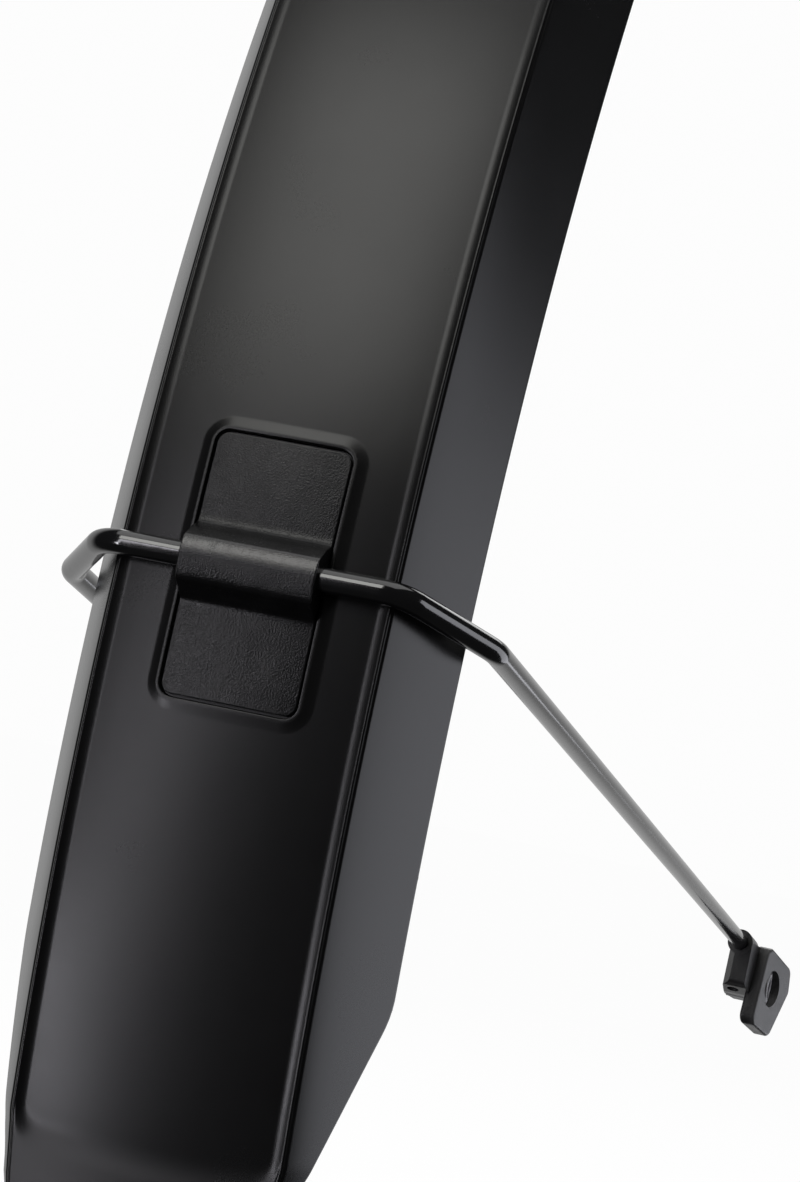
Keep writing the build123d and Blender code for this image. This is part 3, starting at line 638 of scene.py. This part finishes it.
# ------------------------------------------------------------------ materials
class Mat:
    """A material with its node tree and short calls for its nodes."""

    def __init__(self, name, colour, rough, metallic=0.0, spec=0.5, ior=1.5):
        self.m = bpy.data.materials.new(name)
        self.m.use_nodes = True
        self.t = self.m.node_tree
        self.b = self.t.nodes["Principled BSDF"]
        self.b.inputs["Base Color"].default_value = (*colour, 1.0)
        self.b.inputs["Roughness"].default_value = rough
        self.b.inputs["Metallic"].default_value = metallic
        self.b.inputs["IOR"].default_value = ior
        self.b.inputs["Specular IOR Level"].default_value = spec
        self.co = self.t.nodes.new("ShaderNodeTexCoord").outputs["Object"]

    def node(self, kind, **props):
        n = self.t.nodes.new(kind)
        for k, v in props.items():
            setattr(n, k, v)
        return n

    def link(self, a, b):
        self.t.links.new(a, b)

    def noise(self, size, detail=2.0, rough=0.5, stretch=None):
        """Noise with features about size metres across."""
        n = self.node("ShaderNodeTexNoise")
        n.inputs["Scale"].default_value = 1.0 / size
        n.inputs["Detail"].default_value = detail
        n.inputs["Roughness"].default_value = rough
        self.link(self.coords(stretch), n.inputs["Vector"])
        return n.outputs["Fac"]

    def height(self, way):
        """Distance along a fixed direction."""
        n = self.node("ShaderNodeVectorMath", operation="DOT_PRODUCT")
        self.link(self.co, n.inputs[0])
        n.inputs[1].default_value = way
        return n.outputs["Value"]

    def coords(self, stretch=None):
        if stretch is None:
            return self.co
        mp = self.node("ShaderNodeMapping")
        mp.inputs["Scale"].default_value = stretch
        self.link(self.co, mp.inputs["Vector"])
        return mp.outputs["Vector"]

    def voronoi(self, size, feature="F1", rand=1.0, out="Distance"):
        n = self.node("ShaderNodeTexVoronoi", feature=feature)
        n.inputs["Scale"].default_value = 1.0 / size
        n.inputs["Randomness"].default_value = rand
        self.link(self.co, n.inputs["Vector"])
        return n.outputs[out]

    def ramp(self, fac, lo, hi, a=0.0, b=1.0):
        n = self.node("ShaderNodeMapRange", clamp=True)
        n.inputs["From Min"].default_value = lo
        n.inputs["From Max"].default_value = hi
        n.inputs["To Min"].default_value = a
        n.inputs["To Max"].default_value = b
        self.link(fac, n.inputs["Value"])
        return n.outputs["Result"]

    def math(self, op, a, b):
        n = self.node("ShaderNodeMath", operation=op)
        for sock, v in zip(n.inputs, (a, b)):
            if isinstance(v, (int, float)):
                sock.default_value = v
            else:
                self.link(v, sock)
        return n.outputs[0]

    def mix(self, fac, a, b):
        n = self.node("ShaderNodeMix", data_type="RGBA")
        self.link(fac, n.inputs[0])
        for sock, v in ((n.inputs[6], a), (n.inputs[7], b)):
            if isinstance(v, tuple):
                sock.default_value = (*v, 1.0)
            else:
                self.link(v, sock)
        return n.outputs[2]

    def bump(self, height, distance, strength=1.0):
        n = self.node("ShaderNodeBump")
        n.inputs["Distance"].default_value = distance
        n.inputs["Strength"].default_value = strength
        self.link(height, n.inputs["Height"])
        self.link(n.outputs["Normal"], self.b.inputs["Normal"])

    def colour(self, c):
        self.link(c, self.b.inputs["Base Color"])

    def rough(self, r):
        self.link(r, self.b.inputs["Roughness"])


def specks(m, size, share, radius):
    """Sparse dust: a dot in a few of the cells."""
    cell = m.node("ShaderNodeTexVoronoi", feature="F1")
    cell.inputs["Scale"].default_value = 1.0 / size
    m.link(m.co, cell.inputs["Vector"])
    sep = m.node("ShaderNodeSeparateColor")
    m.link(cell.outputs["Color"], sep.inputs["Color"])
    chosen = m.ramp(sep.outputs[0], 1.0 - share, 1.0 - share + 0.004)
    dot = m.ramp(cell.outputs["Distance"], radius / size, radius / size * 0.6)
    return m.math("MULTIPLY", chosen, dot)


def satin_black():
    m = Mat("satin_black_plastic", (0.006, 0.006, 0.0062), 0.26)
    cloud = m.noise(0.030, 4.0, 0.6)
    fine = m.noise(0.00035, 2.0, 0.6)
    grain = m.noise(0.00012, 1.0, 0.5)
    dust = specks(m, 0.0050, 0.050, 0.00011)
    body = m.mix(m.ramp(cloud, 0.3, 0.7), (0.005, 0.005, 0.0052), (0.0072, 0.0072, 0.0075))
    m.colour(m.mix(dust, body, (0.30, 0.30, 0.28)))
    r = m.math("ADD", m.ramp(cloud, 0.3, 0.7, 0.245, 0.275), m.ramp(fine, 0.35, 0.65, -0.006, 0.006))
    m.rough(m.math("ADD", r, m.math("MULTIPLY", dust, 0.4)))
    h = m.math("ADD", m.math("MULTIPLY", fine, 0.6), m.math("MULTIPLY", grain, 0.4))
    m.bump(h, 0.0000025)
    return m.m


CLIP_OUT = (-math.cos(CLIP * DEG), 0.0, math.sin(CLIP * DEG))      # outward at the clip
CLIP_RUN = (math.sin(CLIP * DEG), 0.0, math.cos(CLIP * DEG))       # along the guard at the clip
CLIP_N0 = (-AX * math.cos(CLIP * DEG) + AZ * math.sin(CLIP * DEG) + R) * MM
CLIP_U0 = (AX * math.sin(CLIP * DEG) + AZ * math.cos(CLIP * DEG)) * MM


def grained_black():
    """Clip plastic: moulded leather grain, faint scuffs along the plate, cloudy smudges."""
    m = Mat("grained_black_plastic", (0.013, 0.013, 0.0135), 0.20)
    cell = m.voronoi(0.00023, "SMOOTH_F1")
    fine = m.noise(0.00012, 1.0, 0.5)
    cloud = m.noise(0.007, 4.0, 0.65)
    scuff = m.noise(0.0011, 3.0, 0.6, (1.0, 1.0, 0.12))
    body = m.mix(m.ramp(cloud, 0.35, 0.7), (0.010, 0.010, 0.0105), (0.018, 0.018, 0.0185))
    dust = specks(m, 0.0030, 0.05, 0.00008)
    m.colour(m.mix(dust, body, (0.30, 0.30, 0.28)))
    r = m.math("ADD", m.ramp(cloud, 0.3, 0.75, 0.17, 0.24), m.ramp(scuff, 0.35, 0.7, -0.025, 0.07))
    m.rough(m.math("ADD", r, m.ramp(fine, 0.3, 0.7, -0.03, 0.03)))
    # the saddle's upper side is rubbed glossy
    high = m.ramp(m.height(CLIP_OUT), CLIP_N0 + 0.0030, CLIP_N0 + 0.0052)
    upper = m.ramp(m.height(CLIP_RUN), CLIP_U0 - 0.0003, CLIP_U0 + 0.0012)
    rub = m.math("MULTIPLY", high, upper)
    gloss = m.math("ADD", m.math("MULTIPLY", rub, 0.60), m.ramp(cloud, 0.35, 0.7, 0.36, 0.48))
    m.b.inputs["Specular IOR Level"].default_value = 0.42
    m.link(gloss, m.b.inputs["Specular IOR Level"])
    h = m.math("ADD", m.math("MULTIPLY", cell, 0.8), m.math("MULTIPLY", fine, 0.35))
    m.bump(h, 0.000037)
    return m.m


def black_wire():
    m = Mat("gloss_black_wire", (0.010, 0.010, 0.011), 0.10, ior=2.0)
    peel = m.noise(0.0016, 2.0, 0.5)
    cloud = m.noise(0.012, 3.0, 0.6)
    fine = m.noise(0.0002, 2.0, 0.5)
    m.colour(m.mix(m.ramp(cloud, 0.35, 0.7), (0.008, 0.008, 0.009), (0.014, 0.014, 0.015)))
    m.rough(m.math("ADD", m.ramp(cloud, 0.3, 0.7, 0.10, 0.135), m.ramp(fine, 0.35, 0.65, -0.01, 0.02)))
    m.bump(peel, 0.000010)
    return m.m


def moulded_end():
    m = Mat("moulded_black_end", (0.030, 0.030, 0.030), 0.33)
    cell = m.voronoi(0.00050, "SMOOTH_F1")
    fine = m.noise(0.0002, 2.0, 0.6)
    cloud = m.noise(0.005, 4.0, 0.6)
    body = m.mix(m.ramp(cloud, 0.3, 0.7), (0.045, 0.045, 0.046), (0.065, 0.065, 0.065))
    # the lug's outer face is painted a lighter grey: painted light on that side of the lug
    painted_light_face = m.ramp(m.math("ABSOLUTE", m.height((0.0, 1.0, 0.0)), 0.0), 0.0513, 0.0530)
    m.colour(m.mix(painted_light_face, body, (0.17, 0.17, 0.168)))
    m.rough(m.math("ADD", m.ramp(cloud, 0.3, 0.7, 0.28, 0.38), m.ramp(fine, 0.3, 0.7, -0.03, 0.03)))
    m.bump(m.math("ADD", m.math("MULTIPLY", cell, 0.6), m.math("MULTIPLY", fine, 0.5)), 0.000045)
    return m.m


def plated_steel(name, colour, rough, brush, distance=0.000004):
    """Bright metal: fine drawn lines, cloudy plating, a few dull spots."""
    m = Mat(name, colour, rough, metallic=1.0)
    cloud = m.noise(0.004, 4.0, 0.6)
    line = m.noise(0.0012, 3.0, 0.6, brush)
    spot = m.noise(0.0007, 3.0, 0.6)
    dark = tuple(c * 0.82 for c in colour)
    m.colour(m.mix(m.ramp(cloud, 0.3, 0.7), dark, colour))
    r = m.math("ADD", m.ramp(line, 0.3, 0.7, rough - 0.06, rough + 0.08), m.ramp(spot, 0.62, 0.75, 0.0, 0.12))
    m.rough(r)
    m.bump(m.math("ADD", line, m.math("MULTIPLY", spot, 0.5)), distance)
    return m.m


def coated_strap():
    """Black powder coat with a fine orange-peel skin."""
    m = Mat("black_coated_strap", (0.015, 0.015, 0.016), 0.42)
    peel = m.noise(0.0009, 2.0, 0.5)
    fine = m.noise(0.00025, 2.0, 0.5)
    cloud = m.noise(0.009, 4.0, 0.6)
    m.colour(m.mix(m.ramp(cloud, 0.3, 0.7), (0.012, 0.012, 0.013), (0.020, 0.020, 0.021)))
    m.rough(m.math("ADD", m.ramp(cloud, 0.3, 0.7, 0.36, 0.48), m.ramp(fine, 0.3, 0.7, -0.02, 0.02)))
    m.bump(m.math("ADD", peel, m.math("MULTIPLY", fine, 0.3)), 0.00003)
    return m.m


def set_material(ob, mat):
    ob.data.materials.clear()
    ob.data.materials.append(mat)


# ------------------------------------------------------------------ pieces
blade = build_blade()
set_material(blade, satin_black())
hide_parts("guard_blade")
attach(blade, "guard")

clip = build_clip()
set_material(clip, grained_black())
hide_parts("stay_clip")
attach(clip, "guard")

stay = build_stay()
set_material(stay, black_wire())
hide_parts("u_stay")
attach(stay, "stay")

end_mat = moulded_end()
for n in ("left_stay_end", "right_stay_end"):
    set_material(NODES[n], end_mat)
set_material(NODES["eyelet_bushes"], plated_steel("zinc_bush", (0.56, 0.56, 0.57), 0.52, (0.2, 3.0, 0.2)))
set_material(NODES["stay_clamp_screws"], plated_steel("black_screw", (0.10, 0.10, 0.11), 0.32, (1.0, 0.3, 1.0)))
set_material(NODES["clip_push_nuts"], plated_steel("spring_steel", (0.50, 0.50, 0.50), 0.30, (1.0, 1.0, 0.2)))
set_material(NODES["crown_bracket"], coated_strap())
set_material(NODES["crown_rivets"], plated_steel("rivet_aluminium", (0.66, 0.66, 0.67), 0.34, (1.0, 1.0, 1.0)))
set_material(NODES["crown_rivet_washers"], plated_steel("zinc_washer", (0.58, 0.59, 0.60), 0.36, (1.0, 0.3, 1.0)))

# ------------------------------------------------------------------ camera
cam = bpy.data.objects.new("camera", bpy.data.cameras.new("camera"))
bpy.context.scene.collection.objects.link(cam)
right = Vector((0.221993, -0.954521, 0.199020))
up = Vector((-0.093935, 0.182227, 0.978759))
fwd = Vector((0.970513, 0.235972, 0.049210))
m = Matrix((right, up, -fwd)).transposed().to_4x4()
m.translation = Vector((-716.154, -139.078, -358.980)) * MM
cam.matrix_world = m
cam.data.sensor_width = 36.0
cam.data.lens = 97.401
cam.data.clip_start, cam.data.clip_end = 0.02, 60.0
bpy.context.scene.camera = cam

# ------------------------------------------------------------------ floor and light
FLOOR_Z = -0.62        # clear of the stay at its lowest
me = bpy.data.meshes.new("floor")
me.from_pydata([(x, y, FLOOR_Z) for x, y in ((-12, -12), (12, -12), (12, 12), (-12, 12))], [], [(0, 1, 2, 3)])
floor = bpy.data.objects.new("floor", me)
bpy.context.scene.collection.objects.link(floor)
fm = Mat("pale_floor", (0.30, 0.30, 0.30), 0.9, spec=0.0)
away = fm.node("ShaderNodeVectorMath", operation="LENGTH")
fm.link(fm.co, away.inputs[0])
fm.b.inputs["Emission Color"].default_value = (1.0, 1.0, 1.0, 1.0)
fm.link(fm.ramp(away.outputs["Value"], 0.5, 3.0, 0.885, 0.975), fm.b.inputs["Emission Strength"])
fm.colour(fm.mix(fm.ramp(away.outputs["Value"], 0.5, 3.0), (0.22, 0.22, 0.22), (0.0, 0.0, 0.0)))
set_material(floor, fm.m)
# the lights alone shape the reflections: the floor is only looked at
floor.visible_diffuse = floor.visible_glossy = floor.visible_transmission = floor.visible_shadow = False

TARGET = Vector((-0.2424, 0.0, -0.3356))
REACH = 4.0


def aim(az, el):
    """Direction to a light: azimuth 0 is behind the guard, positive to its left."""
    az, el = az * DEG, el * DEG
    return Vector((-math.cos(el) * math.cos(az), math.cos(el) * math.sin(az), math.sin(el)))


def softbox(name, az, el, half_x, half_y, turn, radiance, colour):
    """Soft rectangular light, its half sizes given as angles seen from the guard."""
    c = aim(az, el)
    r = c.cross(Vector((0, 0, 1))).normalized()
    u = r.cross(c)
    ex = r * math.cos(turn * DEG) + u * math.sin(turn * DEG)
    ey = u * math.cos(turn * DEG) - r * math.sin(turn * DEG)
    data = bpy.data.lights.new(name, "AREA")
    data.shape = "RECTANGLE"
    data.size = 2 * REACH * math.tan(half_x * DEG)
    data.size_y = 2 * REACH * math.tan(half_y * DEG)
    data.energy = radiance * math.pi * data.size * data.size_y
    data.color = colour
    ob = bpy.data.objects.new(name, data)
    mw = Matrix((-ex, ey, c)).transposed().to_4x4()
    mw.translation = TARGET + c * REACH
    ob.matrix_world = mw
    ob.visible_camera = False
    bpy.context.scene.collection.objects.link(ob)
    return ob


softbox("main_softbox", 19.1, 38.4, 9.6, 14.6, -7.1, 2.85, (1.0, 0.995, 0.965))
softbox("low_strip", 22.7, 2.1, 3.1, 17.0, 10.1, 3.7, (0.955, 0.935, 1.0))
softbox("floor_strip", 29.5, -19.8, 2.5, 7.5, -7.0, 9.3, (0.945, 0.93, 1.0))
softbox("side_panel", -124.9, -5.2, 14.3, 36.7, -59.5, 1.45, (0.92, 0.93, 1.0))
softbox("overhead_softbox", 10.0, 86.0, 28.0, 28.0, 0.0, 0.8, (1.0, 1.0, 1.0))
# fill for the inside, which the main view never sees
softbox("inner_fill", 181.0, 38.0, 22.0, 13.0, 0.0, 1.9, (1.0, 1.0, 1.0))

world = bpy.data.worlds.new("studio")
bpy.context.scene.world = world
world.use_nodes = True
wt = world.node_tree
wt.nodes.clear()
w_out = wt.nodes.new("ShaderNodeOutputWorld")
w_mix = wt.nodes.new("ShaderNodeMixShader")
w_cam = wt.nodes.new("ShaderNodeBackground")       # plain white background
w_cam.inputs["Color"].default_value = (0.98, 0.98, 0.98, 1.0)
w_env = wt.nodes.new("ShaderNodeBackground")       # white backdrop beyond the guard
w_env.inputs["Color"].default_value = (1.0, 1.0, 1.0, 1.0)
w_path = wt.nodes.new("ShaderNodeLightPath")
w_co = wt.nodes.new("ShaderNodeTexCoord")
w_dot = wt.nodes.new("ShaderNodeVectorMath")
w_dot.operation = "DOT_PRODUCT"
w_dot.inputs[1].default_value = aim(148.0, 0.0)
w_map = wt.nodes.new("ShaderNodeMapRange")
w_map.interpolation_type = "SMOOTHSTEP"
w_map.inputs["From Min"].default_value = math.cos(62 * DEG)
w_map.inputs["From Max"].default_value = math.cos(38 * DEG)
w_map.inputs["To Min"].default_value = 0.02
w_map.inputs["To Max"].default_value = 0.64
wt.links.new(w_co.outputs["Generated"], w_dot.inputs[0])
wt.links.new(w_dot.outputs["Value"], w_map.inputs["Value"])
wt.links.new(w_map.outputs["Result"], w_env.inputs["Strength"])
wt.links.new(w_path.outputs["Is Camera Ray"], w_mix.inputs[0])
wt.links.new(w_env.outputs[0], w_mix.inputs[1])
wt.links.new(w_cam.outputs[0], w_mix.inputs[2])
wt.links.new(w_mix.outputs[0], w_out.inputs["Surface"])

vs = bpy.context.scene.view_settings
vs.view_transform = "Standard"
vs.look = "None"
vs.exposure = 0.0
vs.gamma = 1.0
